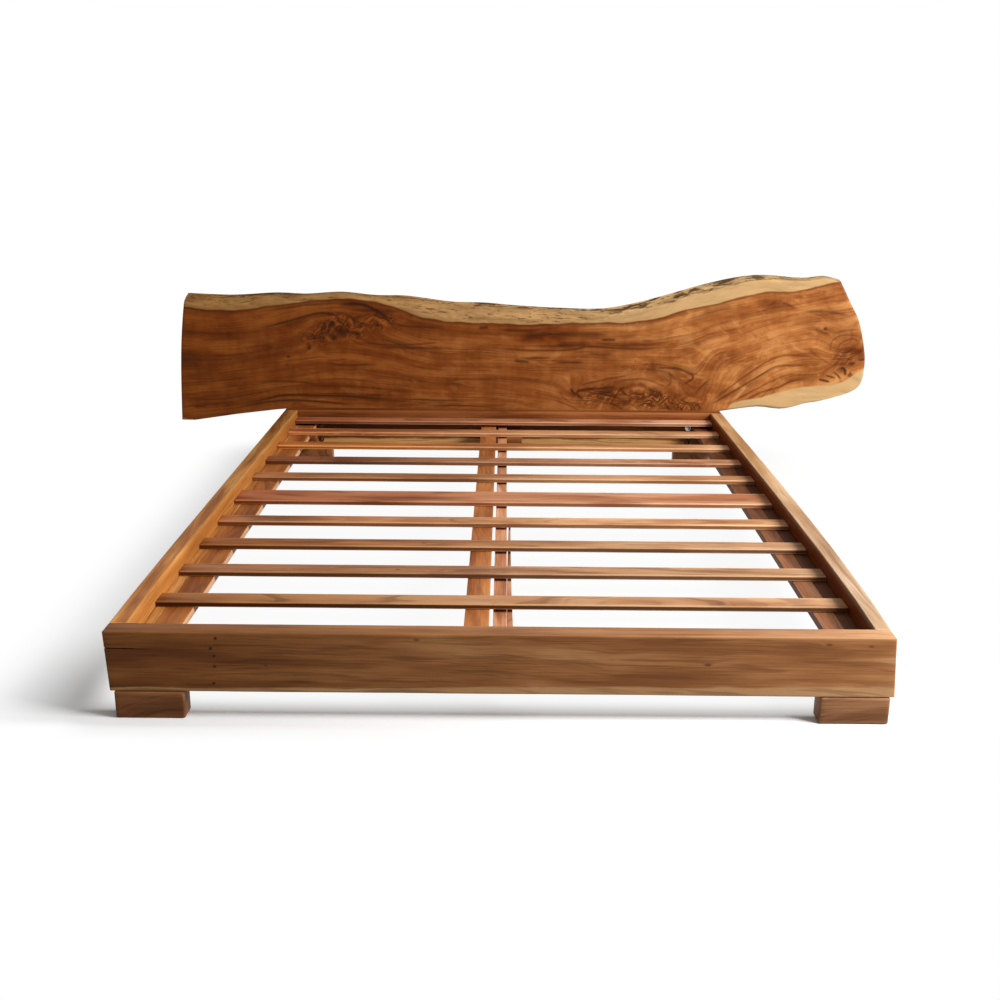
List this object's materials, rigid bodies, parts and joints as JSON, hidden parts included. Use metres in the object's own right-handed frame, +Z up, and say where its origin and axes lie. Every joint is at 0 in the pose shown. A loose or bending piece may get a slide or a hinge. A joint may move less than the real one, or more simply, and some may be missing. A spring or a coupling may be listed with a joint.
{
  "type": "queen size bed",
  "caption": "Low wooden platform bed with rail frame, cross slats on lengthwise bearers, block feet and a live-edge slab headboard.",
  "frame": {"origin": "centre of the whole bed's plan, on the floor", "axes": "+X to the right seen from the foot, +Y from the foot to the head, +Z up"},
  "size_m": [2.538, 2.2256, 0.693],
  "materials": {
    "slab_wood": "oiled live-edge heartwood with a pale sapwood edge",
    "rail_wood": "oiled, satin",
    "slat_wood": "sanded, satin",
    "bearer_wood": "sanded, satin",
    "foot_wood": "oiled, satin",
    "dowel_wood": "bare hardwood",
    "bright_steel": "zinc plated",
    "dark_steel": "blackened"
  },
  "bodies": {
    "root": {"headboard_slab": "slab_wood", "foot_rail": "rail_wood", "head_rail": "rail_wood", "left_side_rail": "rail_wood", "right_side_rail": "rail_wood", "slat_01": "slat_wood", "slat_02": "slat_wood", "slat_03": "slat_wood", "slat_04": "slat_wood", "slat_05": "slat_wood", "slat_06": "slat_wood", "slat_07": "slat_wood", "slat_08": "slat_wood", "slat_09": "slat_wood", "slat_10": "slat_wood", "left_bearer": "bearer_wood", "right_bearer": "bearer_wood", "center_bearer": "bearer_wood", "center_lath": "bearer_wood", "center_lath_strip": "bearer_wood", "left_side_batten": "bearer_wood", "right_side_batten": "bearer_wood", "left_headboard_post": "bearer_wood", "right_headboard_post": "bearer_wood", "foot_left_block": "bearer_wood", "foot_center_block": "bearer_wood", "foot_right_block": "bearer_wood", "head_left_block": "bearer_wood", "head_center_block": "bearer_wood", "head_right_block": "bearer_wood", "front_left_foot": "foot_wood", "front_left_foot_screw": "dark_steel", "front_left_tenon": "dowel_wood", "front_right_foot": "foot_wood", "front_right_foot_screw": "dark_steel", "front_right_tenon": "dowel_wood", "rear_left_foot": "foot_wood", "rear_left_foot_screw": "dark_steel", "rear_left_tenon": "dowel_wood", "rear_right_foot": "foot_wood", "rear_right_foot_screw": "dark_steel", "rear_right_tenon": "dowel_wood", "center_foot": "foot_wood", "center_foot_dowel": "dowel_wood", "headboard_bolt_left_upper": "bright_steel", "headboard_nut_left_upper": "dark_steel", "slab_screw_left_upper": "bright_steel", "headboard_bolt_left_lower": "bright_steel", "headboard_nut_left_lower": "dark_steel", "slab_screw_left_lower": "bright_steel", "headboard_bolt_right_upper": "bright_steel", "headboard_nut_right_upper": "dark_steel", "slab_screw_right_upper": "bright_steel", "headboard_bolt_right_lower": "bright_steel", "headboard_nut_right_lower": "dark_steel", "slab_screw_right_lower": "bright_steel"}
  },
  "joints": []
}
